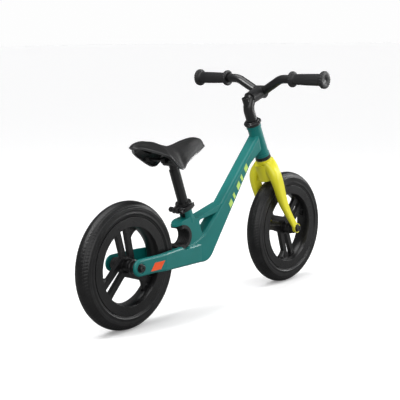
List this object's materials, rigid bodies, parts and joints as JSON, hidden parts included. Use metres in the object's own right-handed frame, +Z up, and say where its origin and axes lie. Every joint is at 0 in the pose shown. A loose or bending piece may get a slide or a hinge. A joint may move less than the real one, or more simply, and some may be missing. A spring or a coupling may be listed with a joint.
{
  "type": "balance bike",
  "caption": "Child's balance bike: teal cast frame with twin rear stays, lime fork, foam tyres on double-spoke wheels, padded saddle and bent handlebar.",
  "frame": {"origin": "on the floor, midway between the two axles and in the bike's middle plane", "axes": "+X towards the front wheel, +Y to the rider's left, +Z up"},
  "size_m": [0.9139, 0.412, 0.5773],
  "materials": {
    "frame_paint": "semi-gloss teal green powder coat on cast metal",
    "fork_paint": "semi-gloss lime yellow powder coat",
    "black_metal": "satin black paint over metal",
    "steel": "bright zinc plated steel",
    "wheel_plastic": "moulded black glass-filled nylon",
    "tyre_foam": "black solid foam, slightly shiny moulded skin",
    "grip_rubber": "soft black rubber",
    "pad_rubber": "ribbed black rubber",
    "saddle_pad": "black skin over soft padding",
    "decal_orange": "orange-red film",
    "decal_lime": "lime green film"
  },
  "bodies": {
    "frame": {"frame": "frame_paint", "footrest_pad": "pad_rubber", "headset_lower_cup": "black_metal", "headset_upper_cup": "black_metal", "rear_axle": "steel", "rear_axle_nuts": "black_metal", "rear_axle_spacers": "steel", "seat_collar": "black_metal", "quick_release_pin": "steel", "quick_release_nut": "black_metal", "stay_decals": "decal_orange", "tube_stripes": "decal_lime"},
    "fork": {"fork": "fork_paint", "steerer": "black_metal", "crown_race": "black_metal", "headset_bearings": "steel", "headset_top_cover": "black_metal", "front_axle": "steel", "front_axle_nuts": "black_metal", "front_axle_spacers": "steel"},
    "handlebar": {"stem": "black_metal", "stem_quill": "black_metal", "handlebar": "black_metal", "expander_bolt": "black_metal", "expander_wedge": "steel", "grip_left": "grip_rubber", "grip_right": "grip_rubber"},
    "front_wheel": {"front_rim": "wheel_plastic", "front_spokes": "wheel_plastic", "front_tyre": "tyre_foam", "front_wheel_bearings": "steel", "front_hub_caps": "wheel_plastic"},
    "rear_wheel": {"rear_rim": "wheel_plastic", "rear_spokes": "wheel_plastic", "rear_tyre": "tyre_foam", "rear_wheel_bearings": "steel", "rear_hub_caps": "wheel_plastic"},
    "seat_post": {"seat_post": "black_metal", "seat_post_plug": "wheel_plastic"},
    "saddle": {"saddle": "saddle_pad", "saddle_shell": "wheel_plastic", "rail_sockets": "wheel_plastic", "saddle_rails": "steel", "clamp_cheeks": "black_metal", "clamp_bolt": "black_metal"},
    "quick_release_lever": {"quick_release_lever": "black_metal"}
  },
  "joints": [
    {"name": "steering", "type": "hinge", "parent": "frame", "child": "fork", "pos_m": [0.307, 0, 0.15], "axis": [-0.4226, 0, 0.9063], "range_deg": [-90, 90]},
    {"name": "handlebar_height", "type": "slide", "parent": "fork", "child": "handlebar", "axis": [-0.4226, 0, 0.9063], "range_m": [0, 0.03]},
    {"name": "front_wheel_spin", "type": "hinge", "parent": "fork", "child": "front_wheel", "pos_m": [0.307, 0, 0.15], "axis": [0, 1, 0], "continuous": true},
    {"name": "rear_wheel_spin", "type": "hinge", "parent": "frame", "child": "rear_wheel", "pos_m": [-0.307, 0, 0.15], "axis": [0, 1, 0], "continuous": true},
    {"name": "seat_height", "type": "slide", "parent": "frame", "child": "seat_post", "axis": [-0.342, 0, 0.9397], "range_m": [-0.028, 0.045]},
    {"name": "saddle_tilt", "type": "hinge", "parent": "seat_post", "child": "saddle", "pos_m": [-0.1432, 0, 0.37268], "axis": [0, 1, 0], "range_deg": [-8, 8]},
    {"name": "quick_release", "type": "hinge", "parent": "frame", "child": "quick_release_lever", "pos_m": [-0.1289, -0.017, 0.25444], "axis": [0.342, 0, -0.9397], "range_deg": [0, 150]}
  ]
}
